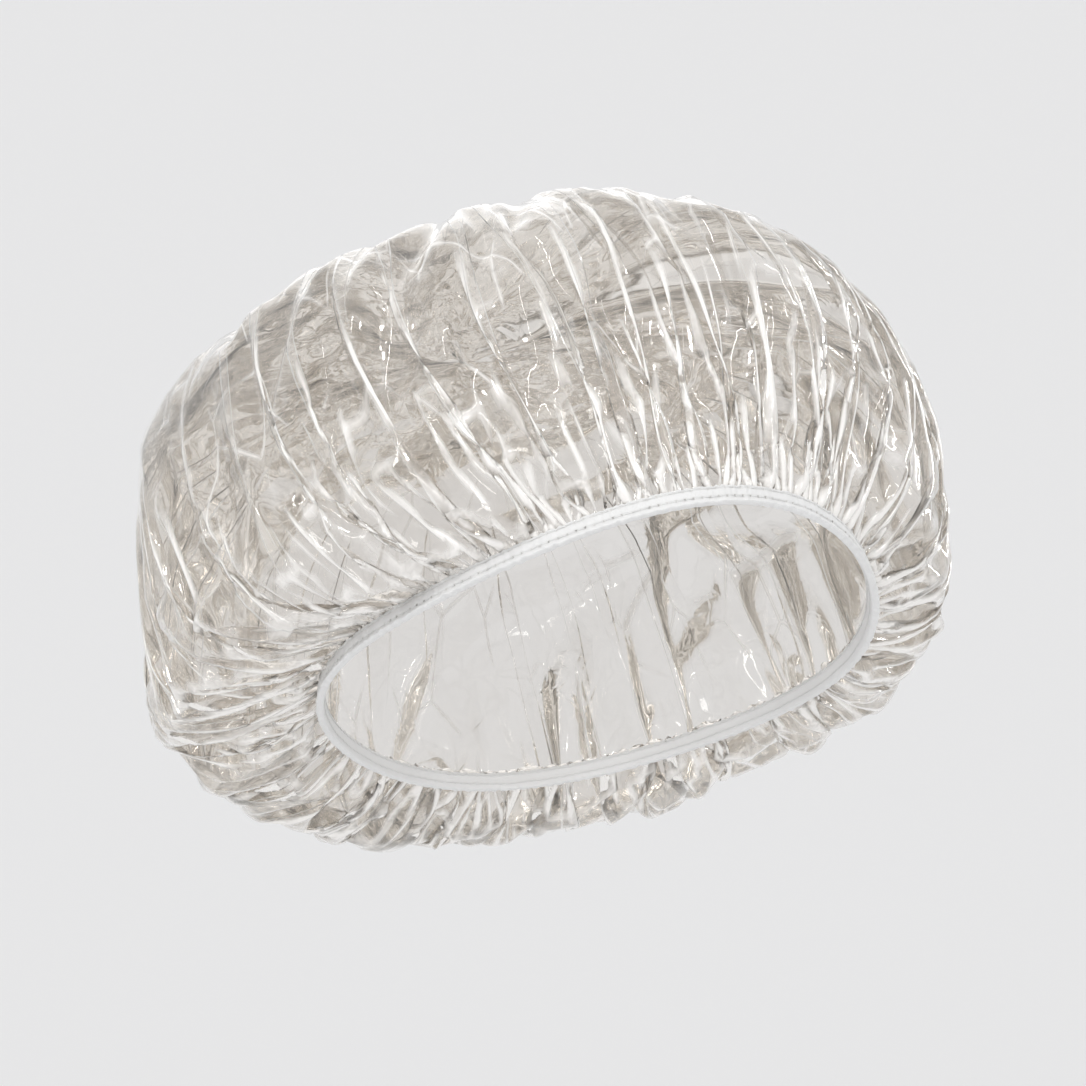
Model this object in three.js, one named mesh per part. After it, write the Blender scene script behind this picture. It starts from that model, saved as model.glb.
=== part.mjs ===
// A clear film shower cap, held open as on a head: gathered film crown, folded elastic binding and stitching.
// Millimetres. +Z is up as worn, -Y the front, +X the wearer's left; the origin is the middle of the opening.
import * as THREE from 'three';

// The opening: the closed line that the binding follows round the head, highest at the forehead.
const openingHalfWidth = 84;
const openingHalfDepth = 100;
const foreheadRiseHeight = 40.9;
const saddleRiseHeight = 2.2;
const browArchHeight = 2.5;
const eggShare = 0.042;
const headTaper = 8;

// The crown: how far the film stands out past the opening, and how high it reaches over the opening's plane.
const sideOverhangWidth = 43;
const frontOverhangDepth = 6.5;
const backOverhangDepth = 71;
const crownHeight = 142.5;
const bellyHeight = 39.3;
const bellyDropHeight = 20;
const crownSquareness = 2.9;
const discSetBackDepth = 22;

// The film, drawn thicker than its real 0.03 mm so that it is a solid.
const filmThickness = 0.4;

// Where the gathered film turns over the binding: first a small lip, then the slack that hangs round it.
const lipWidth = 2.5;
const lipHeight = 2;
const hangFrontWidth = 2;
const hangSideWidth = 7;
const hangBackWidth = 24;
const hangFrontHeight = 10;
const hangSideDepth = 1;
const hangBackDepth = 16;

// Where the crown's rounded box takes over from the hanging slack, in degrees above its widest level.
const crownStart = { front: 4, side: -26, back: -40 };
const crownTop = 90;

// The main folds: narrow pinched ridges with flat facets between them.
const foldCount = 23;
const foldHeight = 5.5;
const foldSwayShare = 0.2;
const foldHeightSpreadShare = 0.35;

// The binding: one elastic tape folded over the film's edge, with rubber strands inside it.
const tapeWidth = 6;
const tapeLegThickness = 0.45;
const slotFloorHeight = 1.4;
const edgeBeadThickness = 0.3;
const grooveDepth = 0.2;
const grooveWidth = 0.8;
const strandCount = 3;
const strandDiameter = 0.5;
const threadDiameter = 0.3;
const layerClearance = 0.2;
const filmEdgeClearance = 0.4;
const threadClearance = 0.1;

// The join at the nape: the tape's loose end laid over its start and tacked down.
const lapLength = 14;
const lapThickness = 0.6;
const lapSteps = 8;
const tackLength = 2;
const tackThickness = 0.35;
const tackMargin = 0.4;
const tackStitches = 6;

// Samples round the opening: three on each fold of the film, twice as many on the binding.
const samplesPerFold = 3;
const filmSamples = foldCount * samplesPerFold;
const tapeSamples = 2 * filmSamples;

// Layers of the binding, counted outwards from the film's middle face.
const filmHalf = filmThickness / 2;
const strandMiddle = filmHalf + layerClearance + strandDiameter / 2;
const slotOuter = strandMiddle + strandDiameter / 2 + layerClearance;
const tapeOuter = slotOuter + tapeLegThickness;
const slotInner = -filmHalf - layerClearance;
const tapeInner = slotInner - tapeLegThickness;
const tapeTop = tapeWidth / 2;
const slotBottom = slotFloorHeight - tapeTop;
const grooveFace = tapeOuter - grooveDepth;
const lapBase = grooveFace + threadClearance + threadDiameter + threadClearance;
const tackBase = lapBase + lapThickness + threadClearance;

// Heights of the two stitch rows, and of the strands, as shares of the tape's half width.
const stitchRowShares = [-0.3, 0.72];
const strandSpanShares = [-0.17, 0.4];

const hangWidths = { front: hangFrontWidth, side: hangSideWidth, back: hangBackWidth };
const hangHeights = { front: hangFrontHeight, side: -hangSideDepth, back: -hangBackDepth };

const crownTilt = Math.atan2(foreheadRiseHeight, openingHalfDepth);
const openingSlopeLength = Math.hypot(foreheadRiseHeight, openingHalfDepth);
const bellyHalfWidth = openingHalfWidth + sideOverhangWidth;
const bellyHalfDepth = openingSlopeLength + (frontOverhangDepth + backOverhangDepth) / 2;
const bellySetBackDepth = (backOverhangDepth - frontOverhangDepth) / 2;

const crownBack = new THREE.Vector3(0, Math.cos(crownTilt), -Math.sin(crownTilt));
const crownUp = new THREE.Vector3(0, Math.sin(crownTilt), Math.cos(crownTilt));

// Sums of a base point and any number of [direction, length] pairs.
function offset(point, ...moves) {
  const moved = point.clone();
  for (const [direction, length] of moves) moved.addScaledVector(direction, length);
  return moved;
}

// A value that runs smoothly from the forehead over the temples to the nape.
function aroundHead({ front, side, back }, azimuth) {
  const facing = Math.cos(azimuth);
  return side + ((facing > 0 ? front : back) - side) * facing * facing;
}

// A point of the opening and its directions: along the tape, out of the head, and up the tape's face.
function openingFrame(azimuth) {
  const sin = Math.sin(azimuth);
  const cos = Math.cos(azimuth);
  const saddle = saddleRiseHeight * Math.cos(2 * azimuth);
  const brow = browArchHeight * Math.cos(3 * azimuth);
  const saddleSlope = 2 * saddleRiseHeight * Math.sin(2 * azimuth);
  const browSlope = 3 * browArchHeight * Math.sin(3 * azimuth);
  const point = new THREE.Vector3(
    openingHalfWidth * sin * (1 - eggShare * cos),
    -openingHalfDepth * cos,
    foreheadRiseHeight * cos + saddle + brow,
  );
  const along = new THREE.Vector3(
    openingHalfWidth * (cos * (1 - eggShare * cos) + eggShare * sin * sin),
    openingHalfDepth * sin,
    -foreheadRiseHeight * sin - saddleSlope - browSlope,
  ).normalize();
  const level = new THREE.Vector3().crossVectors(along, crownUp).normalize();
  const out = level.applyAxisAngle(along, -THREE.MathUtils.degToRad(headTaper));
  const up = new THREE.Vector3().crossVectors(out, along);
  return { point, along, out, up };
}

// A point of the crown, a rounded box in the opening's plane: elevation 0 is its widest level, crownTop the
// middle of the film's disc. The shares give the point's place in the box's plan, squared up by the rounding.
function crownPoint(azimuth, elevation) {
  const angle = THREE.MathUtils.degToRad(elevation);
  const leanShare = elevation > 0 ? (discSetBackDepth / bellyHalfDepth) * (1 - Math.cos(angle)) : 0;
  const acrossShare = Math.sin(azimuth) * Math.cos(angle);
  const backShare = leanShare - Math.cos(azimuth) * Math.cos(angle);
  const spreadShare = Math.max(Math.hypot(acrossShare, backShare), Number.EPSILON);
  const reachShare = spreadShare ** (2 / crownSquareness) / spreadShare;
  const riseShare = Math.max(1 - spreadShare ** 2, 0) ** (1 / crownSquareness);
  const rise = elevation > 0 ? crownHeight - bellyHeight : -bellyHeight - bellyDropHeight;
  return offset(
    new THREE.Vector3(bellyHalfWidth * acrossShare * reachShare, 0, 0),
    [crownBack, bellySetBackDepth + bellyHalfDepth * backShare * reachShare],
    [crownUp, bellyHeight + rise * riseShare],
  );
}

function meshOf(name, vertices, triangles, look) {
  const geometry = new THREE.BufferGeometry();
  const coordinates = vertices.flatMap((vertex) => vertex.toArray());
  geometry.setAttribute('position', new THREE.Float32BufferAttribute(coordinates, 3));
  geometry.setIndex(triangles.flat());
  geometry.computeVertexNormals();
  const mesh = new THREE.Mesh(geometry, new THREE.MeshStandardMaterial({ metalness: 0, ...look }));
  mesh.name = name;
  return mesh;
}

// Two triangles for the cell whose corners run round it anticlockwise, seen from outside.
function cell(a, b, c, d) {
  return [[a, b, c], [a, c, d]];
}

// A closed ring along the opening. section(step) lists [out, up] points, clockwise with out to the right.
function ringAlongOpening(name, section, look) {
  const vertices = [];
  const triangles = [];
  const sides = section(0).length;
  const index = (step, side) => (step % tapeSamples) * sides + (side % sides);
  for (let step = 0; step < tapeSamples; step += 1) {
    const { point, out, up } = openingFrame((step / tapeSamples) * 2 * Math.PI);
    for (const [outLength, upLength] of section(step)) {
      vertices.push(offset(point, [out, outLength], [up, upLength]));
    }
    for (let side = 0; side < sides; side += 1) {
      triangles.push(...cell(
        index(step, side),
        index(step, side + 1),
        index(step + 1, side + 1),
        index(step + 1, side),
      ));
    }
  }
  return meshOf(name, vertices, triangles, look);
}

// The film: rows from its edge inside the tape, over the lip and the hanging slack, to the top of the crown.
// Each row has its height of fold, the half width of a pinched ridge, and the rows of the crown their climb.
const rowFoldShares = [0, 0, 0.2, 0.4, 0.8, 1, 0.9, 0.7, 0.35];
const rowRidgeShares = [1 / samplesPerFold, 1 / samplesPerFold, 0.3, 0.24, 0.16, 0.14, 0.14, 0.17, 0.25];
const crownClimbShares = [0, 0.21, 0.42, 0.62, 0.8];
const crownFirstRow = rowFoldShares.length - crownClimbShares.length;

function filmMiddle(azimuth, row) {
  if (row >= crownFirstRow) {
    const start = aroundHead(crownStart, azimuth);
    const climb = crownClimbShares[row - crownFirstRow];
    return crownPoint(azimuth, start + (crownTop - start) * climb);
  }
  const { point, out, up } = openingFrame(azimuth);
  const edge = offset(point, [up, slotBottom + filmEdgeClearance]);
  const rim = offset(point, [up, tapeTop + filmEdgeClearance]);
  const lip = offset(rim, [out, lipWidth], [up, lipHeight]);
  const hang = offset(rim, [out, aroundHead(hangWidths, azimuth)], [up, aroundHead(hangHeights, azimuth)]);
  return [edge, rim, lip, hang][row];
}

// The ridge stands in the middle of each fold's three samples; the other two are its feet.
function filmAzimuth(fold, part, row) {
  const sway = foldSwayShare * Math.sin(2.4 * fold) * Math.min(1, rowFoldShares[row] * 2);
  return ((fold + 0.5 + sway + (part - 1) * rowRidgeShares[row]) / foldCount) * 2 * Math.PI;
}

// The direction square to the film's middle face, from its neighbours along and across the row.
function filmNormal(azimuth, row) {
  const { out } = openingFrame(azimuth);
  if (rowFoldShares[row] === 0) return out;
  const step = Math.PI / filmSamples;
  const along = filmMiddle(azimuth + step, row).sub(filmMiddle(azimuth - step, row));
  const last = rowFoldShares.length - 1;
  const above = row === last ? crownPoint(azimuth, crownTop) : filmMiddle(azimuth, row + 1);
  const across = above.sub(filmMiddle(azimuth, row - 1));
  return along.cross(across).normalize();
}

function crownFilm() {
  const rows = rowFoldShares.length;
  const faces = { outer: [], inner: [] };
  const lift = (fold, part, row) => {
    const height = foldHeight * (1 + foldHeightSpreadShare * Math.sin(5.1 * fold)) * rowFoldShares[row];
    return part === 1 ? height : 0;
  };
  for (let row = 0; row < rows; row += 1) {
    for (let sample = 0; sample < filmSamples; sample += 1) {
      const fold = Math.floor(sample / samplesPerFold);
      const part = sample % samplesPerFold;
      const azimuth = filmAzimuth(fold, part, row);
      const middle = filmMiddle(azimuth, row);
      const normal = filmNormal(azimuth, row);
      const rise = lift(fold, part, row);
      faces.outer.push(offset(middle, [normal, rise + filmHalf]));
      faces.inner.push(offset(middle, [normal, rise - filmHalf]));
    }
  }
  const top = crownPoint(0, crownTop);
  faces.outer.push(offset(top, [crownUp, filmHalf]));
  faces.inner.push(offset(top, [crownUp, -filmHalf]));

  const innerStart = faces.outer.length;
  const outer = (sample, row) => (row === rows ? innerStart - 1 : row * filmSamples + (sample % filmSamples));
  const inner = (sample, row) => innerStart + outer(sample, row);
  const triangles = [];
  for (let sample = 0; sample < filmSamples; sample += 1) {
    const next = sample + 1;
    for (let row = 0; row < rows - 1; row += 1) {
      const above = row + 1;
      triangles.push(...cell(outer(sample, row), outer(next, row), outer(next, above), outer(sample, above)));
      triangles.push(...cell(inner(sample, row), inner(sample, above), inner(next, above), inner(next, row)));
    }
    triangles.push([outer(sample, rows - 1), outer(next, rows - 1), outer(0, rows)]);
    triangles.push([inner(sample, rows - 1), inner(0, rows), inner(next, rows - 1)]);
    triangles.push(...cell(outer(sample, 0), inner(sample, 0), inner(next, 0), outer(next, 0)));
  }
  const look = { color: 0xe6e1d8, roughness: 0.12, transparent: true, opacity: 0.45 };
  return meshOf('crown_film', [...faces.outer, ...faces.inner], triangles, look);
}

// The tape in section: a narrow U, open at the top, with a groove for each stitch row and a bead at its fold.
function bindingTape() {
  const groove = (middle) => [
    [tapeOuter, middle + grooveWidth / 2],
    [grooveFace, middle + grooveWidth / 2],
    [grooveFace, middle - grooveWidth / 2],
    [tapeOuter, middle - grooveWidth / 2],
  ];
  const section = [
    [slotOuter, tapeTop],
    [tapeOuter, tapeTop],
    ...groove(stitchRowShares[1] * tapeTop),
    ...groove(stitchRowShares[0] * tapeTop),
    [tapeOuter, slotBottom],
    [tapeOuter + edgeBeadThickness, (slotBottom - tapeTop) / 2],
    [tapeOuter, -tapeTop],
    [tapeInner, -tapeTop],
    [tapeInner, tapeTop],
    [slotInner, tapeTop],
    [slotInner, slotBottom],
    [slotOuter, slotBottom],
  ];
  return ringAlongOpening('binding_tape', () => section, { color: 0xf4f4f2, roughness: 0.7 });
}

function rubberStrand(number) {
  const share = number / (strandCount - 1);
  const [low, high] = strandSpanShares;
  const height = (low + (high - low) * share) * tapeWidth;
  const radius = strandDiameter / 2;
  const section = [
    [strandMiddle, height + radius],
    [strandMiddle + radius, height],
    [strandMiddle, height - radius],
    [strandMiddle - radius, height],
  ];
  const look = { color: 0xe9e2cf, roughness: 0.55 };
  return ringAlongOpening(`rubber_strand_${number + 1}`, () => section, look);
}

// A row of stitches as one continuous thread, thick on top of each stitch and thin where it turns down.
const threadSwellShares = [1, 0.45];

function stitchThread(name, height, face, side) {
  const section = (step) => {
    const half = (threadDiameter / 2) * threadSwellShares[step % 2];
    const base = face + side * threadClearance;
    const tip = base + side * 2 * half;
    const points = [[base, height + half], [tip, height], [base, height - half]];
    return side > 0 ? points : points.reverse();
  };
  return ringAlongOpening(name, section, { color: 0xfafafa, roughness: 0.5 });
}

// A short curved plate outside the tape's face at the nape, with its thickness given step by step.
function napePlate(name, { base, length, bottom, top, steps, thickness }, look) {
  const vertices = [];
  const triangles = [];
  const halfAngle = length / 2 / (openingHalfWidth * (1 + eggShare));
  for (let step = 0; step <= steps; step += 1) {
    const share = step / steps;
    const { point, out, up } = openingFrame(Math.PI + halfAngle * (2 * share - 1));
    const corners = [
      [base, top],
      [base + thickness(step), top],
      [base + thickness(step), bottom],
      [base, bottom],
    ];
    for (const [outLength, upLength] of corners) {
      vertices.push(offset(point, [out, outLength], [up, upLength]));
    }
  }
  const sides = 4;
  const index = (step, side) => step * sides + (side % sides);
  for (let step = 0; step < steps; step += 1) {
    for (let side = 0; side < sides; side += 1) {
      triangles.push(...cell(
        index(step, side),
        index(step, side + 1),
        index(step + 1, side + 1),
        index(step + 1, side),
      ));
    }
  }
  triangles.push(...cell(index(0, 3), index(0, 2), index(0, 1), index(0, 0)));
  triangles.push(...cell(index(steps, 0), index(steps, 1), index(steps, 2), index(steps, 3)));
  return meshOf(name, vertices, triangles, look);
}

const group = new THREE.Group();
group.name = 'shower_cap';
group.add(crownFilm());
group.add(bindingTape());
for (let number = 0; number < strandCount; number += 1) group.add(rubberStrand(number));
stitchRowShares.forEach((share, row) => {
  const height = share * tapeTop;
  group.add(stitchThread(`needle_thread_${row + 1}`, height, grooveFace, 1));
  group.add(stitchThread(`looper_thread_${row + 1}`, height, tapeInner, -1));
});
group.add(napePlate(
  'tape_end_lap',
  {
    base: lapBase,
    length: lapLength,
    bottom: slotBottom,
    top: tapeTop,
    steps: lapSteps,
    thickness: () => lapThickness,
  },
  { color: 0xf1f1ee, roughness: 0.7 },
));
group.add(napePlate(
  'bar_tack',
  {
    base: tackBase,
    length: tackLength,
    bottom: slotBottom + tackMargin,
    top: tapeTop - tackMargin,
    steps: 2 * tackStitches,
    thickness: (step) => tackThickness * threadSwellShares[step % 2],
  },
  { color: 0xfafafa, roughness: 0.5 },
));

export default group;
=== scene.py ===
import math

import bpy
import numpy as np
from mathutils import Matrix, Vector


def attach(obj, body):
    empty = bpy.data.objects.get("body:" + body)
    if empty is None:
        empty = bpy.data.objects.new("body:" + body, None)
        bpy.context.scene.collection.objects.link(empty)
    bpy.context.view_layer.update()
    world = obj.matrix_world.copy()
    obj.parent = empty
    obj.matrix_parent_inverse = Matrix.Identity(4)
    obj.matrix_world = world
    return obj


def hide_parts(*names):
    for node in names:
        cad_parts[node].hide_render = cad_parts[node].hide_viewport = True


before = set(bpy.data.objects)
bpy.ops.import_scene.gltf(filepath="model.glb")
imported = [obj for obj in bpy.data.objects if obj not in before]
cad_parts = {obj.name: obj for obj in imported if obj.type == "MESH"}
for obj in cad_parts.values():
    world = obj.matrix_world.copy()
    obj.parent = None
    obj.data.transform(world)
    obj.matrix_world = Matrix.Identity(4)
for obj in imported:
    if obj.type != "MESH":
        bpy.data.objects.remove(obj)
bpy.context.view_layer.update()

# The opening is the closed line that the elastic follows when the cap is worn, highest at the front. Azimuth
# 0 is the front and a quarter turn the cap's left side. All of the cap is placed from this line, in metres.
OPENING_HALF_WIDTH = 0.084
OPENING_HALF_DEPTH = 0.100
FRONT_RISE = 0.0409
SADDLE_RISE = 0.0022
FRONT_ARCH = 0.0025
EGG_SHARE = 0.042
OPENING_TAPER = math.radians(8)
TURN = 2 * math.pi

TILT = math.atan2(FRONT_RISE, OPENING_HALF_DEPTH)
CROWN_BACK = np.array([0, math.cos(TILT), -math.sin(TILT)])
CROWN_UP = np.array([0, math.sin(TILT), math.cos(TILT)])


def unit(vectors):
    """The vectors at length 1."""
    return vectors / np.maximum(np.linalg.norm(vectors, axis=-1, keepdims=True), 1e-12)


def opening(azimuth):
    """The opening's points, and there the directions out of the cap and up the tape's face.

    x is a sine, y a cosine and z a cosine with two overtones; out is square to the line, tipped by the taper.
    """
    sin, cos = np.sin(azimuth), np.cos(azimuth)
    squeeze = 1 - EGG_SHARE * cos
    point = np.stack([
        OPENING_HALF_WIDTH * sin * squeeze,
        -OPENING_HALF_DEPTH * cos,
        FRONT_RISE * cos + SADDLE_RISE * np.cos(2 * azimuth) + FRONT_ARCH * np.cos(3 * azimuth),
    ], axis=-1)
    along = unit(np.stack([
        OPENING_HALF_WIDTH * (cos * squeeze + EGG_SHARE * sin * sin),
        OPENING_HALF_DEPTH * sin,
        -FRONT_RISE * sin - 2 * SADDLE_RISE * np.sin(2 * azimuth) - 3 * FRONT_ARCH * np.sin(3 * azimuth),
    ], axis=-1))
    level = unit(np.cross(along, CROWN_UP))
    upright = np.cross(level, along)
    out = level * math.cos(OPENING_TAPER) + upright * math.sin(OPENING_TAPER)
    return point, out, np.cross(out, along)


def carried(azimuth, out_by, up_by):
    """The opening's points moved out of the cap and up the tape's face by arrays of lengths."""
    point, out, up = opening(azimuth)
    return point + out * np.asarray(out_by)[..., None] + up * np.asarray(up_by)[..., None]


def round_the_cap(columns):
    """Even steps of azimuth, once round."""
    return np.arange(columns) * TURN / columns


def waves(azimuth, lowest, highest, count, seed):
    """A sum of sines, about 1 high, with whole numbers of turns round the cap, from lowest to highest."""
    draw = np.random.default_rng(seed)
    turns, starts = draw.integers(lowest, highest, count), draw.uniform(0, TURN, count)
    return np.sin(turns * np.asarray(azimuth)[..., None] + starts).sum(axis=-1) * math.sqrt(2 / count)


def lengths_along(line):
    """The length reached at each point of a line."""
    return np.concatenate([[0], np.cumsum(np.linalg.norm(np.diff(line, axis=0), axis=-1))])


def surface(name, grid, around=False, along=False, middle=None):
    """A mesh of the grid's points, with a face between each point and its next ones in both directions.

    around joins the last column to the first, along the last row to the first, and middle closes the last row
    on one point. Its UV map holds the real lengths along the first row and up the first column, in metres.
    """
    rows, columns = grid.shape[:2]
    index = np.arange(rows * columns).reshape(rows, columns)
    if around:
        index = np.concatenate([index, index[:, :1]], axis=1)
    if along:
        index = np.concatenate([index, index[:1]], axis=0)
    points = grid.reshape(-1, 3)
    first_row, first_column = points[index[0]], points[index[:, 0]]
    places = np.stack(np.meshgrid(lengths_along(first_row), lengths_along(first_column)), axis=-1)

    def corners(values):
        return np.stack([values[:-1, :-1], values[:-1, 1:], values[1:, 1:], values[1:, :-1]], axis=2)

    loops, lengths = corners(index).ravel(), corners(places).reshape(-1, 2)
    sizes = np.full(loops.size // 4, 4)
    if middle is not None:
        ends = np.stack([index[-1, :-1], index[-1, 1:], np.full(index.shape[1] - 1, len(points))], axis=-1)
        tips = np.stack([places[-1, :-1], places[-1, 1:], places[-1, 1:]], axis=1)
        loops = np.concatenate([loops, ends.ravel()])
        lengths = np.concatenate([lengths, tips.reshape(-1, 2)])
        sizes = np.concatenate([sizes, np.full(len(ends), 3)])
        points = np.concatenate([points, middle[None]])
    mesh = bpy.data.meshes.new(name)
    mesh.vertices.add(len(points))
    mesh.vertices.foreach_set("co", points.astype(np.float32).ravel())
    mesh.loops.add(len(loops))
    mesh.loops.foreach_set("vertex_index", loops.astype(np.int32))
    mesh.polygons.add(len(sizes))
    starts = np.concatenate([[0], np.cumsum(sizes)[:-1]])
    mesh.polygons.foreach_set("loop_start", starts.astype(np.int32))
    mesh.polygons.foreach_set("use_smooth", np.ones(len(sizes), dtype=bool))
    mesh.update(calc_edges=True)
    mesh.uv_layers.new(name="lengths").data.foreach_set("uv", lengths.astype(np.float32).ravel())
    piece = bpy.data.objects.new(name, mesh)
    bpy.context.collection.objects.link(piece)
    return piece


def attribute(piece, name, values, kind="FLOAT"):
    """Keeps one number, or one vector, for each of the mesh's points under that name, for the materials."""
    layer = piece.data.attributes.new(name, kind, "POINT")
    field = "value" if kind == "FLOAT" else "vector"
    layer.data.foreach_set(field, np.asarray(values, dtype=np.float32).ravel())


class Wire:
    """A node's socket, on which shader maths is written as ordinary sums."""

    def __init__(self, finish, socket):
        self.finish = finish
        self.socket = socket

    def maths(self, operation, *values):
        return self.finish.node("Math", {"operation": operation}, dict(enumerate(values)))

    def __add__(self, other):
        return self.maths("ADD", self, other)

    def __sub__(self, other):
        return self.maths("SUBTRACT", self, other)

    def __rsub__(self, other):
        return self.maths("SUBTRACT", other, self)

    def __mul__(self, other):
        return self.maths("MULTIPLY", self, other)

    def __truediv__(self, other):
        return self.maths("DIVIDE", self, other)

    def __pow__(self, other):
        return self.maths("POWER", self, other)

    def __abs__(self):
        return self.maths("ABSOLUTE", self)

    __radd__ = __add__
    __rmul__ = __mul__

    def most(self, other):
        return self.maths("MAXIMUM", self, other)

    def least(self, other):
        return self.maths("MINIMUM", self, other)

    def wave(self, length):
        """A sine, from -1 to 1, that repeats at that length."""
        return self.maths("SINE", self * (TURN / length))


class Finish:
    """A material, or the world, built node by node."""

    def __init__(self, holder):
        self.holder = holder
        holder.use_nodes = True
        self.tree = holder.node_tree
        self.tree.nodes.clear()

    def node(self, kind, settings=None, sockets=None, output=0):
        """A new node's output, as a wire: its settings come first, then its sockets' values or links."""
        made = self.tree.nodes.new("ShaderNode" + kind)
        for key, value in (settings or {}).items():
            if key == "stops":
                ramp = made.color_ramp
                while len(ramp.elements) < len(value):
                    ramp.elements.new(1)
                for element, (place, colour) in zip(ramp.elements, value):
                    element.position, element.color = place, (*colour, 1)
            else:
                setattr(made, key, value)
        for key, value in (sockets or {}).items():
            if isinstance(value, Wire):
                self.tree.links.new(value.socket, made.inputs[key])
            else:
                made.inputs[key].default_value = value
        return Wire(self, made.outputs[output]) if made.outputs else self.holder

    def kept(self, name):
        """A number that the mesh keeps under that name."""
        return self.node("Attribute", {"attribute_name": name}, None, "Fac")

    def lengths(self):
        """The UV map's two lengths."""
        place = self.node("SeparateXYZ", None, {0: self.node("UVMap", {"uv_map": "lengths"})})
        return place, Wire(self, place.socket.node.outputs[1])

    def noise(self, scale, detail=2.0, place=None, distortion=0.0):
        """A cloudy pattern from 0 to 1, on the given place or else on the piece's own coordinates."""
        place = place or self.node("TexCoord", None, None, "Object")
        return self.node("TexNoise", None, {
            "Vector": place, "Scale": scale, "Detail": detail, "Distortion": distortion,
        })

    def bump(self, height, distance, strength=1.0):
        """The face's direction, tipped as if a height of 1 stood out by the distance."""
        return self.node("Bump", None, {"Height": height, "Distance": distance, "Strength": strength})

    def ramp(self, share, *stops):
        """A colour that runs through the stops, each a place and a colour, as the share grows."""
        return self.node("ValToRGB", {"stops": stops}, {"Fac": share})


# The crown is one disc of thin clear polyethylene, gathered at its rim into the elastic. It is first laid
# evenly over the rounded shape that it fills, and then settled to its cut size: what is left over stands up
# in folds.
SIDE_FULLNESS = 0.0425
FRONT_FULLNESS = 0.006
BACK_FULLNESS = 0.070
CROWN_HEIGHT = 0.142
BELLY_HEIGHT = 0.0393
BELLY_DROP = 0.020
CROWN_SQUARENESS = 2.9
DISC_SET_BACK = 0.022
DISC_RADIUS = 0.292
RIM_IN_TAPE = 0.0012
TAPE_TOP = 0.0034
LIP_OUT, LIP_UP = 0.0025, 0.002
HANG_OUT = (0.002, 0.007, 0.024)
HANG_DOWN = (-0.010, 0.001, 0.016)
BELLY_START = (4, -26, -40)
BELLY_HALF_WIDTH = OPENING_HALF_WIDTH + SIDE_FULLNESS
BELLY_HALF_DEPTH = math.hypot(FRONT_RISE, OPENING_HALF_DEPTH) + (FRONT_FULLNESS + BACK_FULLNESS) / 2
BELLY_SET_BACK = (BACK_FULLNESS - FRONT_FULLNESS) / 2


def front_to_nape(values, azimuth):
    """A value that runs smoothly from the first at the front over the second at the sides to the third."""
    front, side, back = values
    facing = np.cos(azimuth)
    return side + (np.where(facing > 0, front, back) - side) * facing * facing


def crown(azimuth, elevation):
    """A rounded box on the opening's plane: an ellipse round the cap, and a superellipse up it.

    The elevation runs from 0 at the widest level to 90 degrees at the disc's middle, which is set a bit back.
    """
    angle = np.radians(elevation)
    lean = np.where(angle > 0, DISC_SET_BACK / BELLY_HALF_DEPTH * (1 - np.cos(angle)), 0)
    across = np.sin(azimuth) * np.cos(angle)
    back = lean - np.cos(azimuth) * np.cos(angle)
    spread = np.hypot(across, back)
    reach = spread ** (2 / CROWN_SQUARENESS) / spread
    rise = np.maximum(1 - spread ** 2, 0) ** (1 / CROWN_SQUARENESS)
    height = np.where(angle > 0, CROWN_HEIGHT - BELLY_HEIGHT, -BELLY_HEIGHT - BELLY_DROP)
    sideways = np.stack([BELLY_HALF_WIDTH * across * reach, 0 * across, 0 * across], axis=-1)
    set_back = BELLY_SET_BACK + BELLY_HALF_DEPTH * back * reach
    return sideways + CROWN_BACK * set_back[..., None] + CROWN_UP * (BELLY_HEIGHT + height * rise)[..., None]


def guide_lines(azimuth, climbs=24, roundings=4):
    """For each azimuth, a line from the film's rim over the lip and the slack to the disc's middle.

    Its corners are cut off in rounds, each a quarter of the way along both of their sides.
    """
    nothing = 0 * azimuth
    corners = [
        carried(azimuth, nothing, nothing - RIM_IN_TAPE),
        carried(azimuth, nothing, nothing + TAPE_TOP),
        carried(azimuth, nothing + LIP_OUT, nothing + TAPE_TOP + LIP_UP),
        carried(azimuth, front_to_nape(HANG_OUT, azimuth), TAPE_TOP - front_to_nape(HANG_DOWN, azimuth)),
    ]
    start = front_to_nape(BELLY_START, azimuth)
    corners += [crown(azimuth, start + (90 - start) * climb) for climb in np.linspace(0, 1, climbs)]
    line = np.stack(corners)
    for _ in range(roundings):
        cut = np.stack([0.75 * line[:-1] + 0.25 * line[1:], 0.25 * line[:-1] + 0.75 * line[1:]], axis=1)
        line = np.concatenate([line[:1], cut.reshape(-1, *line.shape[1:]), line[-1:]])
    return line


def at_shares(line, shares):
    """The points of each guide line at these shares of its length."""
    lengths = np.linalg.norm(np.diff(line, axis=0), axis=-1)
    reached = np.concatenate([0 * lengths[:1], np.cumsum(lengths, axis=0)])
    wanted = shares[:, None] * reached[-1]
    step = np.clip((reached[None] <= wanted[:, None]).sum(axis=1) - 1, 0, len(line) - 2)
    low, high = np.take_along_axis(reached, step, 0), np.take_along_axis(reached, step + 1, 0)
    part = ((wanted - low) / (high - low))[..., None]
    pick = step[..., None]
    return np.take_along_axis(line, pick, 0) * (1 - part) + np.take_along_axis(line, pick + 1, 0) * part


def normals_of(grid):
    """The outward directions of a grid whose columns go round the cap and whose rows climb it."""
    around = np.roll(grid, -1, axis=1) - np.roll(grid, 1, axis=1)
    return unit(np.cross(around, np.gradient(grid, axis=0)))


LUMPS = 9
LUMP_HEIGHT = 0.0022
LUMPS_START, LUMPS_GROWTH = 0.08, 6


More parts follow.
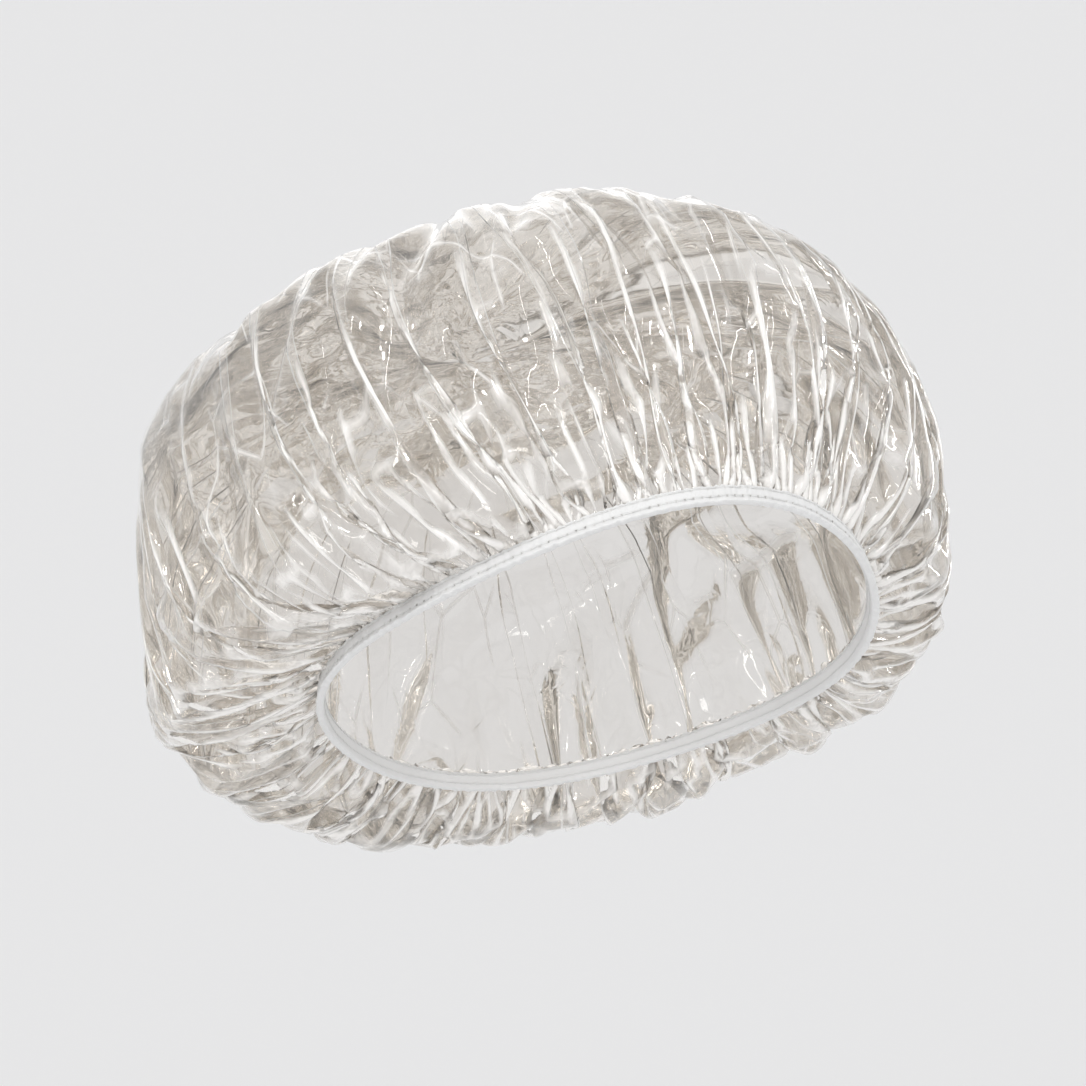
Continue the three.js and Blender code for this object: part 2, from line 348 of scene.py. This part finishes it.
def soft_lumps(azimuth, climb, seed):
    """Low swells of the film: a sum of waves round and up the cap, nothing at the tape."""
    draw = np.random.default_rng(seed)
    swell = 0 * azimuth * climb
    for _ in range(LUMPS):
        turns, rises = draw.integers(2, 9), draw.uniform(1, 7)
        swell = swell + np.sin(turns * azimuth + rises * climb * math.pi + draw.uniform(0, TURN))
    return swell * LUMP_HEIGHT / math.sqrt(LUMPS) * np.clip((climb - LUMPS_START) * LUMPS_GROWTH, 0, 1)


MOMENTUM = 0.88
SHARE_OF_PULL = 0.42
FOLD_OPEN_SHARE = 0.5


def settled(film, radii, guide, outward, room, held, rounds):
    """The film with its neighbouring points brought back to the distances that they had in the flat disc.

    Each round carries on part of the last movement, pulls or pushes each pair of neighbours to its cut
    distance, keeps the second neighbours from folding shut where the elastic doesn't crowd them, and keeps
    every point within its room about the guide surface.
    """
    step = TURN / film.shape[1]
    spacing = np.linalg.norm(np.roll(guide, -1, axis=1) - guide, axis=-1).mean(axis=1)
    crowding = np.minimum(spacing / (radii * step), 1)
    neighbours = [(0, 1, 1), (1, 0, 1), (1, 1, 1), (1, -1, 1)]
    pairs = neighbours + [(0, 2, FOLD_OPEN_SHARE * crowding), (2, 0, FOLD_OPEN_SHARE)]
    fixed = film[held].copy()
    before = film.copy()
    for _ in range(rounds):
        moved = film + MOMENTUM * (film - before)
        before = film
        film = moved
        for down, across, share in pairs:
            low, high = radii[:len(radii) - down], radii[down:]
            cut = np.sqrt(low ** 2 + high ** 2 - 2 * low * high * math.cos(across * step)) * share
            gap = np.roll(film, -across, axis=1)[down:] - film[:len(radii) - down]
            size = np.sqrt((gap * gap).sum(axis=-1)) + 1e-9
            amount = SHARE_OF_PULL * (1 - cut[:, None] / size)
            if 2 in (down, across):
                amount = np.minimum(amount, 0)
            pull = gap * amount[..., None] * 0.5
            film[:len(radii) - down] += pull
            film[down:] -= np.roll(pull, across, axis=1)
        depth = ((film - guide) * outward).sum(axis=-1)
        film += outward * (np.clip(depth, *room) - depth)[..., None]
        film[held] = fixed
    return film


EASE_AT_MIDDLE = 2.5
FEWEST_WAVES = 1.5


def eased(film, radii, shortest):
    """The film without its waves round the cap that are shorter than shortest, which grows to the middle."""
    rings = np.fft.rfft(film, axis=1)
    turns = np.arange(rings.shape[1])
    growth = EASE_AT_MIDDLE - (EASE_AT_MIDDLE - 1) * radii / DISC_RADIUS
    most = np.maximum(radii * TURN / (shortest * growth), FEWEST_WAVES)
    return np.fft.irfft(rings * np.exp(-(turns / most[:, None]) ** 4)[..., None], film.shape[1], axis=1)


def finer(film):
    """The film with a new point between each two, up its rows and round its columns."""
    rows = np.empty((2 * len(film) - 1, *film.shape[1:]))
    rows[::2] = film
    rows[1::2] = (film[1:] + film[:-1]) / 2
    both = np.empty((len(rows), 2 * film.shape[1], 3))
    both[:, ::2] = rows
    both[:, 1::2] = (rows + np.roll(rows, -1, axis=1)) / 2
    return both


FOLDS = 46
FOLD_SWAYS = (0.05, 0.03)
FOLD_WANDER = 1.3
FOLD_RISE, FOLD_UNEVENNESS = 0.006, 0.35
FOLD_FADE = 3
RIM_RIPPLE = 0.0003
SLACK_IN, SLACK_OUT = 0.0030, 0.0062
SLACK_START = 0.006
SLACK_FADE, LEAST_SLACK = 2.2, 0.25
SHAKES = (0.0008, 0.0012, 0.0006)
FULL_SHAKE_CELL = 0.003
GATHER_RISES = (0, 0.0030, 0.0020)
GATHER_REACHES = (0, 0.060, 0.028)
GATHER_UNEVENNESS, GATHER_DRIFT = 0.45, 1.2
COLUMNS_IN_GATHER = 4
RIM_SWAY = 0.6
SHORTEST_WAVE = (0.012, 0.008, 0.0045)
ROW_CROWDING = 1.25
LAST_CLIMB = 0.985
LEVELS = [(240, 26, 260), (480, 51, 220), (960, 101, 150)]


def fold_phase(azimuth, climb):
    """The folds' place in their pattern: even steps round the cap that sway and, as they climb, wander."""
    swayed = azimuth + FOLD_SWAYS[0] * np.sin(3 * azimuth + 1) + FOLD_SWAYS[1] * np.sin(7 * azimuth + 2)
    return FOLDS * swayed + FOLD_WANDER * waves(azimuth, 4, 30, 8, 33) * climb


def laid_film(columns, rows, film, level):
    """One level of the film: its guide surface, its gathered rim and, at the first level, its main folds.

    The later levels add finer gathers, each four columns wide, that die away at heights of their own.
    """
    azimuth = round_the_cap(columns)[None]
    climb = np.linspace(0, 1, rows) ** ROW_CROWDING * LAST_CLIMB
    radii = DISC_RADIUS * (1 - climb)
    guide = at_shares(guide_lines(azimuth[0]), climb)
    outward = normals_of(guide)
    guide = guide + outward * soft_lumps(azimuth, climb[:, None], 5)[..., None]
    run = climb[:, None] * DISC_RADIUS - RIM_IN_TAPE - TAPE_TOP
    free = np.clip(run / SLACK_START, 0, 1)
    draw = np.random.default_rng(11 + level)
    if film is None:
        ridge = np.maximum(np.cos(fold_phase(azimuth, climb[:, None])), 0) ** 2
        ridge = ridge * (1 + FOLD_UNEVENNESS * waves(azimuth, 9, 60, 10, 31))
        fade = np.clip((1 - climb[:, None]) * FOLD_FADE, 0, 1)
        film = guide + outward * (FOLD_RISE * ridge * free * fade)[..., None]
    else:
        reach = GATHER_REACHES[level] * np.exp(GATHER_UNEVENNESS * waves(azimuth, 9, 90, 12, 40 + level))
        drift = GATHER_DRIFT * waves(azimuth, 5, 40, 6, 50 + level)
        gather = np.sin(columns // COLUMNS_IN_GATHER * azimuth + drift) * np.exp(-(run / reach) ** 2)
        film = film + outward * (GATHER_RISES[level] * gather * free)[..., None]
    cell = radii * TURN / columns
    shaken = free * np.minimum(cell / FULL_SHAKE_CELL, 1)[:, None]
    film = film + draw.normal(0, SHAKES[level], film.shape) * shaken[..., None]
    held = climb * DISC_RADIUS < RIM_IN_TAPE + TAPE_TOP
    rim = RIM_RIPPLE * np.sin(columns // COLUMNS_IN_GATHER * azimuth + RIM_SWAY * np.sin(5 * azimuth))
    film[held] = guide[held] + outward[held] * rim[..., None]
    low = -RIM_RIPPLE - (SLACK_IN - RIM_RIPPLE) * free
    full = np.clip((1 - climb[:, None]) * SLACK_FADE, LEAST_SLACK, 1)
    high = RIM_RIPPLE + (SLACK_OUT - RIM_RIPPLE) * free * full
    return film, radii, guide, outward, (low, high), held


film_points = None
for level, (columns, rows, rounds) in enumerate(LEVELS):
    film_points = None if film_points is None else finer(film_points)
    film_points, film_radii, guide, film_outward, room, held = laid_film(columns, rows, film_points, level)
    film_points = settled(film_points, film_radii, guide, film_outward, room, held, rounds)
    film_points = eased(film_points, film_radii, SHORTEST_WAVE[level])

CREST_GAIN, CREST_LEAST = 1.5, 0.1


def crests(film, outward):
    """How sharply the film bends outwards, round the cap or up it: 0 in flats and valleys, 1 on a ridge."""
    sharp = np.zeros(film.shape[:2])
    for axis in (0, 1):
        course = unit(np.roll(film, -1, axis) - film)
        sharp = np.maximum(sharp, ((np.roll(course, 1, axis) - course) * outward).sum(axis=-1))
    sharp[[0, -1]] = 0
    sharp[1:-1] = (sharp[:-2] + 2 * sharp[1:-1] + sharp[2:]) / 4
    return np.clip(sharp * CREST_GAIN - CREST_LEAST, 0, 1)


cap_film = surface("cap_film", film_points, around=True, middle=film_points[-1].mean(axis=0))
attribute(cap_film, "crest", np.append(crests(film_points, film_outward), 0))

# The film's patterns lie on the flat disc: its azimuth is wound on a ring that closes at the middle, and its
# radius is the height, pressed together so that they stretch along the folds.
CRINKLE_RING = 0.06
CRINKLE_PRESS = 0.35
film_azimuth = round_the_cap(film_points.shape[1])
crinkle_ring = CRINKLE_RING * (1 - np.exp(-film_radii / CRINKLE_RING))[:, None]
on_film = np.stack(np.broadcast_arrays(
    crinkle_ring * np.cos(film_azimuth)[None],
    crinkle_ring * np.sin(film_azimuth)[None],
    film_radii[:, None] * CRINKLE_PRESS,
), axis=-1)
attribute(cap_film, "on_film", np.append(on_film.reshape(-1, 3), [[0, 0, 0]], axis=0), "FLOAT_VECTOR")

# Along a main fold the film may lie double, as a flat pleat. The attribute is the distance from the nearest
# fold's line, and it grows towards the middle, where the pleats end.
PLEAT_HALF_WIDTH = 0.0025
PLEAT_END_RADIUS, PLEAT_END_SLOPE = 0.12, 0.1
fold_share = fold_phase(film_azimuth[None], 1 - film_radii[:, None] / DISC_RADIUS) / TURN
off_fold = np.abs((fold_share + 0.5) % 1 - 0.5) * film_radii[:, None] * TURN / FOLDS
off_fold += np.maximum(PLEAT_END_RADIUS - film_radii, 0)[:, None] * PLEAT_END_SLOPE
attribute(cap_film, "off_fold", np.append(off_fold, PLEAT_END_RADIUS))

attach(cap_film, "root")
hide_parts("crown_film")

# Clear film passes what is behind it, a little dimmed, and mirrors its surroundings. Edge on it is dimmed
# more, partly for its longer path through the film and partly as painted shade standing in for darker
# reflections there.
# Pinched ridges, creases and the edges of pleats turn white, because the film is strained or folded there. On
# the ridges that whiteness is also a painted highlight, in place of the lamps' reflections along them.
FILM_IOR = 1.5
TWO_FACES_MIRROR = 1.5
FILM_RELIEF = 0.0005
MOST_LAYERS = 64
CRINKLE_SCALE, DENT_SCALE, FACET_SCALE, FIELD_SCALE = 240, 110, 125, 190
LENGTHENING = 0.4
CLEAR_TINT, EDGE_TINT_AND_SHADE = (0.90, 0.882, 0.86, 1), (0.63, 0.60, 0.57, 1)
WHITENED = (0.97, 0.95, 0.92, 1)

film_finish = Finish(bpy.data.materials.new("clear_film"))
film_place = film_finish.node("Attribute", {"attribute_name": "on_film"}, None, "Vector")
long_place = film_finish.node("Mapping", None, {"Vector": film_place, "Scale": (1, 1, LENGTHENING)})


def patches(scale, least, growth, place=film_place, detail=1):
    """1 in patches where a noise of that scale is well over least, falling to 0 where it is under it."""
    return ((film_finish.noise(scale, detail, place) - least).most(0) * growth).least(1)


# Its face has fine crinkles, broad dents, flat facets with creases between them, and the pleats' double film.
# Each field of the film also has a faint whiteness of its own.
crinkle = (1 - abs(film_finish.noise(CRINKLE_SCALE, 1, film_place, 0.8) - 0.5) * 12).most(0)
crinkle = crinkle * patches(60, 0.42, 4)
dents = film_finish.noise(DENT_SCALE, 1, film_place, 0.3)
to_edge = {"feature": "DISTANCE_TO_EDGE"}
facets = film_finish.node("TexVoronoi", to_edge, {"Vector": long_place, "Scale": FACET_SCALE})
creased = patches(50, 0.40, 5)
fields = film_finish.node("TexVoronoi", None, {"Vector": long_place, "Scale": FIELD_SCALE}, "Color")
crease = (1 - facets * 34).most(0) * patches(85, 0.48, 9, detail=2)
pleated = patches(36, 0.44, 7, long_place)
off_edge = film_finish.kept("off_fold") / PLEAT_HALF_WIDTH - 0.6 - dents * 0.8
pleat = (0.5 - off_edge * 4).most(0).least(1) * pleated
pleat_edge = (1 - abs(off_edge) * 6).most(0) * pleated
relief = crinkle * 0.2 + dents * 1.4 + facets * creased * 4 + pleat * 0.9
wrinkled = film_finish.bump(relief, FILM_RELIEF)

edge_on = film_finish.node("LayerWeight", None, {"Blend": 0.35, "Normal": wrinkled}, 1)
mirror = film_finish.node("Fresnel", None, {"IOR": FILM_IOR, "Normal": wrinkled}) * TWO_FACES_MIRROR
# The ridges' whiteness is partly strained film and partly a painted highlight in place of lamp reflections
# along them.
ridge = ((film_finish.kept("crest") - 0.16) * 1.6).most(0).least(1)
haze_and_ridge_highlight = 0.02 + edge_on ** 3 * 0.25 + ridge * 0.92 + crease * 0.5 + fields ** 4 * 0.16 + crinkle * 0.08
haze_and_ridge_highlight = haze_and_ridge_highlight + pleat * 0.12 + pleat_edge * 0.5
whitened = film_finish.node("BsdfPrincipled", None, {
    "Base Color": WHITENED,
    "Roughness": 0.07,
    "Metallic": mirror / (haze_and_ridge_highlight + mirror),
    "Normal": wrinkled,
})
# Edge on the film is dimmed by its longer path and also by a painted shade, in place of darker reflections.
clear = film_finish.node("MixShader", None, {
    "Fac": edge_on ** 2 * 0.8,
    1: film_finish.node("BsdfTransparent", None, {"Color": CLEAR_TINT}),
    2: film_finish.node("BsdfTransparent", None, {"Color": EDGE_TINT_AND_SHADE}),
})
film_finish.node("OutputMaterial", None, {"Surface": film_finish.node("MixShader", None, {
    "Fac": (haze_and_ridge_highlight + mirror).least(1), 1: clear, 2: whitened,
})})
cap_film.data.materials.append(film_finish.holder)
bpy.context.scene.cycles.transparent_max_bounces = MOST_LAYERS

# The binding is a flat elastic tape of white polyester yarn, folded lengthwise over the film's rim. Its
# section is a U, open at the top, with a fat rounded fold at the bottom, and the two rows of stitches pull
# grooves into its face.
TAPE_HALF = 0.003
TAPE_FACE, TAPE_BACK = 0.00155, -0.00085
SLOT_FACE, SLOT_BACK, SLOT_FLOOR = 0.0011, -0.0004, -0.0016
EDGE_BEAD = 0.0003
GROOVE_DEPTH, GROOVE_HALF = 0.0002, 0.0004
FACE_RIPPLES = (0.00006, 0.00009)
PULL_IN, PULL_SHARE, PULL_HALF = 0.00016, 0.12, 0.0005
HOLE_SHARE, HOLE_HALF, UPPER_HOLES = 0.34, 0.00042, 0.5
EDGE_WAVERS = (0.00013, 0.00010)
STITCH_ROWS = (-0.0009, 0.00216)
STITCHES = 202
STEPS_IN_STITCH = 8

groove_up = np.array([-1, -0.5, 0.5, 1]) * GROOVE_HALF
groove_out = TAPE_FACE - GROOVE_DEPTH * np.array([0, 1, 1, 0])
tape_section = np.array([
    (TAPE_BACK, -0.8 * TAPE_HALF),
    (TAPE_BACK + 0.0004, -TAPE_HALF),
    (TAPE_FACE - 0.0003, -TAPE_HALF),
    (TAPE_FACE + 0.6 * EDGE_BEAD, -0.93 * TAPE_HALF),
    (TAPE_FACE + EDGE_BEAD, -0.76 * TAPE_HALF),
    (TAPE_FACE, SLOT_FLOOR),
    *zip(groove_out, STITCH_ROWS[0] + groove_up),
    (TAPE_FACE, sum(STITCH_ROWS) / 2),
    *zip(groove_out, STITCH_ROWS[1] + groove_up),
    (TAPE_FACE, TAPE_HALF),
    (SLOT_FACE, TAPE_HALF),
    (SLOT_FACE, SLOT_FLOOR),
    (SLOT_BACK, SLOT_FLOOR),
    (SLOT_BACK, TAPE_HALF),
    (TAPE_BACK, TAPE_HALF),
    (TAPE_BACK, 0),
])
next_corner = np.roll(tape_section, -1, axis=0)
tape_section = np.stack([
    0.75 * tape_section + 0.25 * next_corner,
    0.25 * tape_section + 0.75 * next_corner,
], axis=1)
tape_out, tape_up = tape_section.reshape(-1, 2).T[..., None]
tape_azimuth = round_the_cap(STITCHES * STEPS_IN_STITCH)[None]


def needle(azimuth, width):
    """1 where the needle went in, between each two stitches, falling to 0 in the given share of a stitch."""
    return np.abs(np.cos(STITCHES * azimuth / 2)) ** (2 / width)


def near_row(up, width):
    """1 on each row of stitches, falling off over the width as a bell curve."""
    return sum(np.exp(-((up - row) / width) ** 2) for row in STITCH_ROWS)


on_face = np.clip(tape_out / TAPE_FACE, 0, 1)
fine_ripple = FACE_RIPPLES[0] * waves(tape_azimuth, 90, 330, 14, 3)
ripple = fine_ripple + FACE_RIPPLES[1] * waves(tape_azimuth, 20, 80, 8, 4)
pull_in = PULL_IN * needle(tape_azimuth, PULL_SHARE) * near_row(tape_up, PULL_HALF)
upper_edge = EDGE_WAVERS[0] * waves(tape_azimuth, 70, 380, 16, 5)
upper_edge = upper_edge * np.clip(tape_up / TAPE_HALF * 2 - 1, 0, 1)
lower_edge = EDGE_WAVERS[1] * waves(tape_azimuth, 60, 240, 12, 6)
lower_edge = lower_edge * np.clip(-tape_up / TAPE_HALF * 2 - 1, 0, 1)
tape_grid = carried(tape_azimuth + 0 * tape_up, tape_out + on_face * (ripple - pull_in),
                    tape_up + upper_edge + lower_edge)
elastic_binding = surface("elastic_binding", tape_grid, around=True, along=True)
# Painted shadow in the needle holes of both stitch rows, at half strength in the upper row.
hole_shadows = needle(tape_azimuth, HOLE_SHARE) * near_row(tape_up, HOLE_HALF)
hole_shadows = hole_shadows * on_face * np.where(tape_up > 0, UPPER_HOLES, 1)
hole_shadows = hole_shadows * (0.8 + 0.25 * waves(tape_azimuth, 9, 60, 9, 7))
attribute(elastic_binding, "needle_hole", np.clip(hole_shadows, 0, 1))
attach(elastic_binding, "root")
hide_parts("binding_tape")

WARP, WEFT = 0.00052, 0.00044


def tape_finish(name, hole_shadows):
    """White woven elastic: ribs of warp crossed by finer weft, with painted shade a little grey between the
    ribs and a darker painted shadow in the needle holes.
    """
    finish = Finish(bpy.data.materials.new(name))
    along, across = finish.lengths()
    weave = across.wave(WARP) * 0.6 + along.wave(WEFT) * 0.35 + (along + across * 0.5).wave(WEFT * 1.7) * 0.2
    fuzz = finish.noise(2600, 3)
    patch = finish.noise(26, 2)
    hole_shadow = finish.kept("needle_hole") if hole_shadows else 0
    # The yarn's own uneven tone from fuzz and patches, painted shade between the weave's ribs, and painted
    # shadow in the holes.
    tone_and_shade = 0.62 + weave * 0.10 + (fuzz - 0.5) * 0.35 + (patch - 0.5) * 0.25 - hole_shadow * 0.9
    colour = finish.ramp(
        tone_and_shade,
        (0, (0.30, 0.29, 0.28)), (0.3, (0.72, 0.71, 0.69)),
        (0.62, (0.85, 0.85, 0.845)), (1, (0.92, 0.925, 0.93)),
    )
    finish.node("OutputMaterial", None, {"Surface": finish.node("BsdfPrincipled", None, {
        "Base Color": colour,
        "Roughness": 0.62 + (fuzz - 0.5) * 0.3,
        "Normal": finish.bump(weave * 0.5 + fuzz, 0.00012, 0.8),
    })})
    return finish.holder


elastic_binding.data.materials.append(tape_finish("elastic_tape", True))

# Three natural rubber strands run inside the folded tape, outside the film, and draw the whole opening in.
strand_finish = Finish(bpy.data.materials.new("strand_rubber"))
bloom = strand_finish.noise(900, 4)
strand_finish.node("OutputMaterial", None, {"Surface": strand_finish.node("BsdfPrincipled", None, {
    "Base Color": strand_finish.ramp(bloom, (0.3, (0.70, 0.62, 0.46)), (0.7, (0.84, 0.79, 0.66))),
    "Roughness": 0.5 + bloom * 0.25,
    "Normal": strand_finish.bump(bloom, 0.00005),
})})
for number in (1, 2, 3):
    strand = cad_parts[f"rubber_strand_{number}"]
    strand.data.materials.clear()
    strand.data.materials.append(strand_finish.holder)

# Two rows of chain stitch in white polyester thread go through the tape, the film and the tape again. On the
# face the needle thread lies in the grooves as short stitches; inside, the looper thread sways side to side.
THREAD_RADIUS = 0.00016
PLY_LENGTH = 0.0006
STITCH_DIP, STITCH_LIFT = 0.00025, 0.0004
LOOP_SWAY, LOOP_LIFT = 0.00022, 0.00006
ROW_WANDER = 0.00006


def thread_round(path, out, radius, closed, sides=6):
    """A round thread along a path: at each point a circle square to the path, from its outward direction."""
    ahead = np.roll(path, -1, axis=0) - np.roll(path, 1, axis=0) if closed else np.gradient(path, axis=0)
    side = unit(np.cross(out, ahead))
    face = unit(np.cross(ahead, side))
    angle = (np.arange(sides) * TURN / sides)[:, None, None]
    return path + radius[:, None] * (face * np.cos(angle) + side * np.sin(angle))


thread_finish = Finish(bpy.data.materials.new("sewing_thread"))
along, across = thread_finish.lengths()
twist = (along + across * (PLY_LENGTH / (TURN * THREAD_RADIUS))).wave(PLY_LENGTH)
lint = thread_finish.noise(3000, 2)
# Painted shade: the thread's colour greys in the grooves between its plies, along the twist; lint adds its
# own uneven tone.
thread_finish.node("OutputMaterial", None, {"Surface": thread_finish.node("BsdfPrincipled", None, {
    "Base Color": thread_finish.ramp(
        0.5 + twist * 0.3 + (lint - 0.5) * 0.4, (0, (0.62, 0.61, 0.60)), (0.6, (0.93, 0.93, 0.925))),
    "Roughness": 0.42 + lint * 0.2,
    "Normal": thread_finish.bump(twist, 0.00006),
})})

thread_azimuth = round_the_cap(STITCHES * STEPS_IN_STITCH)
arch = np.abs(np.sin(STITCHES * thread_azimuth / 2))
stitch_out = TAPE_FACE - GROOVE_DEPTH + STITCH_LIFT * np.minimum(arch * 1.6, 1) - STITCH_DIP
loop_sway = LOOP_SWAY * np.sin(STITCHES * thread_azimuth)
for number, row in enumerate(STITCH_ROWS, 1):
    rows_wander = ROW_WANDER * waves(thread_azimuth, 8, 50, 8, 20 + number)
    for name, node, out_by, up_by, radius in (
        (f"needle_stitches_{number}", f"needle_thread_{number}", stitch_out, row + rows_wander,
         THREAD_RADIUS * (0.8 + 0.2 * arch)),
        (f"looper_chain_{number}", f"looper_thread_{number}", TAPE_BACK - THREAD_RADIUS - LOOP_LIFT * arch,
         row + rows_wander + loop_sway, THREAD_RADIUS * (0.85 + 0.1 * arch)),
    ):
        path = carried(thread_azimuth, out_by, up_by)
        thread_grid = thread_round(path, opening(thread_azimuth)[1], radius, True)
        thread = surface(name, thread_grid, around=True, along=True)
        thread.data.materials.append(thread_finish.holder)
        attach(thread, "root")
        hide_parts(node)

# At the back the tape's loose end is laid over its start, and a bar tack, a tight zigzag of thread, holds the
# lap down. It lies on the outside, over the stitches.
LAP_LENGTH = 0.014
LAP_OUT = (0.0016, 0.00245)
LAP_UP = (-0.0016, 0.0030)
LAP_WAVERS = (0.00005, 0.00004)
NAPE_RADIUS = OPENING_HALF_WIDTH * (1 + EGG_SHARE)

lap_share = np.linspace(-1, 1, 97)[None]
lap_angle = round_the_cap(48)[:, None]
closing = (1 - np.abs(lap_share) ** 40) ** 0.5
lap_wave = LAP_WAVERS[0] * np.sin(lap_share * 31) + LAP_WAVERS[1] * np.sin(lap_share * 57 + 1)


def squared(wave, power):
    """A sine or cosine with its corners filled out, as in a superellipse."""
    return np.sign(wave) * np.abs(wave) ** power


lap_thickness, lap_width = LAP_OUT[1] - LAP_OUT[0], LAP_UP[1] - LAP_UP[0]
lap_out = sum(LAP_OUT) / 2 + lap_thickness / 2 * squared(np.cos(lap_angle), 0.5) * closing + lap_wave
lap_up = sum(LAP_UP) / 2 + lap_width / 2 * squared(np.sin(lap_angle), 0.35) * closing
lap_azimuth = math.pi + lap_share * LAP_LENGTH / 2 / NAPE_RADIUS
end_lap = surface("end_lap", carried(lap_azimuth + 0 * lap_angle, lap_out, lap_up), along=True)
end_lap.data.materials.append(tape_finish("lap_tape", False))
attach(end_lap, "root")
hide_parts("tape_end_lap")

TACK_LENGTH = 0.002
TACK_PASSES = 14
TACK_UP = (-0.0011, 0.0025)
TACK_OUT, TACK_BITE = 0.0001, 0.00015
tack_share = np.linspace(0, 1, TACK_PASSES * 8 + 1)
swing = np.abs((tack_share * TACK_PASSES) % 2 - 1)
tack_azimuth = math.pi + (tack_share - 0.5) * TACK_LENGTH / NAPE_RADIUS
tack_path = carried(tack_azimuth, LAP_OUT[1] + TACK_OUT - TACK_BITE * np.abs(2 * swing - 1) ** 8,
                    TACK_UP[0] + (TACK_UP[1] - TACK_UP[0]) * swing)
tack_radius = THREAD_RADIUS * (1 - np.abs(2 * tack_share - 1) ** 60)
zigzag_tack = surface("zigzag_tack", thread_round(tack_path, opening(tack_azimuth)[1], tack_radius, False, 8),
                      along=True)
zigzag_tack.data.materials.append(thread_finish.holder)
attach(zigzag_tack, "root")
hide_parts("bar_tack")

# A plain pale floor lies well under the cap, which hangs free over it, and sweeps up all round into a
# backdrop. It keeps the cap's shadow, and shows as a pale colour of its own without lighting the cap.
FLOOR_DROP = 0.30
FLOOR_RADIUS = 3.2
BACKDROP_DEPTH = 1.6
BACKDROP_HEIGHT = 2.4
BACKDROP_BEND = 2.5
FLOOR_MIDDLE = 0.05
PALE = (0.87, 0.87, 0.875, 1)
GLOW_SHARE = 0.75
sweep = np.linspace(0, 1, 60)[:, None]
floor_turn = round_the_cap(120)[None]
floor_reach = FLOOR_MIDDLE + (FLOOR_RADIUS + BACKDROP_DEPTH - FLOOR_MIDDLE) * sweep
up_the_backdrop = np.clip((floor_reach - FLOOR_RADIUS) / BACKDROP_DEPTH, 0, 1)
floor_rise = BACKDROP_HEIGHT * up_the_backdrop ** BACKDROP_BEND - FLOOR_DROP
floor_grid = np.stack([floor_reach * np.cos(floor_turn), floor_reach * np.sin(floor_turn),
                       floor_rise + 0 * floor_turn], axis=-1)
floor = surface("floor", floor_grid[::-1], around=True, middle=np.array([0, 0, -FLOOR_DROP]))


def seen_rays(finish):
    """1 on rays that look at the surround, straight or in a reflection, and 0 on those that light the cap."""
    kinds = ("Camera", "Glossy", "Transmission")
    rays = [finish.node("LightPath", None, None, f"Is {kind} Ray") for kind in kinds]
    return rays[0].most(rays[1]).most(rays[2])


paint = Finish(bpy.data.materials.new("floor"))
paint.node("OutputMaterial", None, {"Surface": paint.node("MixShader", None, {
    "Fac": seen_rays(paint) * GLOW_SHARE,
    1: paint.node("BsdfPrincipled", None, {"Base Color": PALE, "Roughness": 0.8}),
    2: paint.node("Emission", None, {"Color": PALE}),
})})
floor.data.materials.append(paint.holder)

# Soft studio light: an even pale surround, one key lamp, narrow strips whose reflections run along the folds,
# and two weak lamps low at the front and high at the back.
STUDIO_LIGHT = 0.72
bpy.context.scene.world = bpy.data.worlds.new("studio")
studio = Finish(bpy.context.scene.world)
studio.node("OutputWorld", None, {"Surface": studio.node("MixShader", None, {
    "Fac": seen_rays(studio),
    1: studio.node("Background", None, {"Color": (0.86, 0.86, 0.865, 1), "Strength": STUDIO_LIGHT}),
    2: studio.node("Background", None, {"Color": PALE, "Strength": 1.0}),
})})


def lamp(name, place, wide, high, power, aim=(0, 0.05, 0.04)):
    """A soft rectangular lamp, turned to its aim."""
    light = bpy.data.lights.new(name, "AREA")
    light.shape = "RECTANGLE"
    light.size, light.size_y, light.energy = wide, high, power
    made = bpy.data.objects.new(name, light)
    made.location = place
    made.rotation_euler = (Vector(aim) - Vector(place)).to_track_quat("-Z", "Y").to_euler()
    bpy.context.collection.objects.link(made)


lamp("key", (-0.9, -1.1, 1.3), 0.13, 0.13, 6)
lamp("left_strip", (-1.6, -0.5, 0.85), 0.04, 1.6, 6)
lamp("right_strip", (1.0, -1.6, 0.85), 0.04, 1.6, 6)
lamp("side_strip", (1.7, 0.5, 0.85), 0.04, 1.6, 5)
lamp("front_low", (-1.1, -1.4, 0.05), 0.9, 0.25, 3.5)
lamp("back", (0.3, 1.4, 1.2), 1.2, 1.2, 2)

# The camera looks from the photograph's side: a quarter towards the cap's right side and a little from below.
YAW, PITCH, ROLL = math.radians(25.99), math.radians(-4.33), math.radians(3.04)
DISTANCE = 1.5
TARGET = np.array([0.0, 0.045, 0.038])
back = np.array([-math.sin(YAW) * math.cos(PITCH), -math.cos(YAW) * math.cos(PITCH), math.sin(PITCH)])
right = np.array([math.cos(YAW), -math.sin(YAW), 0])
up = np.cross(back, right)
right, up = right * math.cos(ROLL) + up * math.sin(ROLL), up * math.cos(ROLL) - right * math.sin(ROLL)
camera = bpy.data.objects.new("camera", bpy.data.cameras.new("camera"))
bpy.context.collection.objects.link(camera)
axes_and_place = np.stack([right, up, back, TARGET + back * DISTANCE], axis=1)
camera.matrix_world = Matrix(np.vstack([axes_and_place, [0, 0, 0, 1]]))
camera.data.lens = 150
bpy.context.scene.camera = camera
bpy.context.scene.view_settings.view_transform = "Standard"
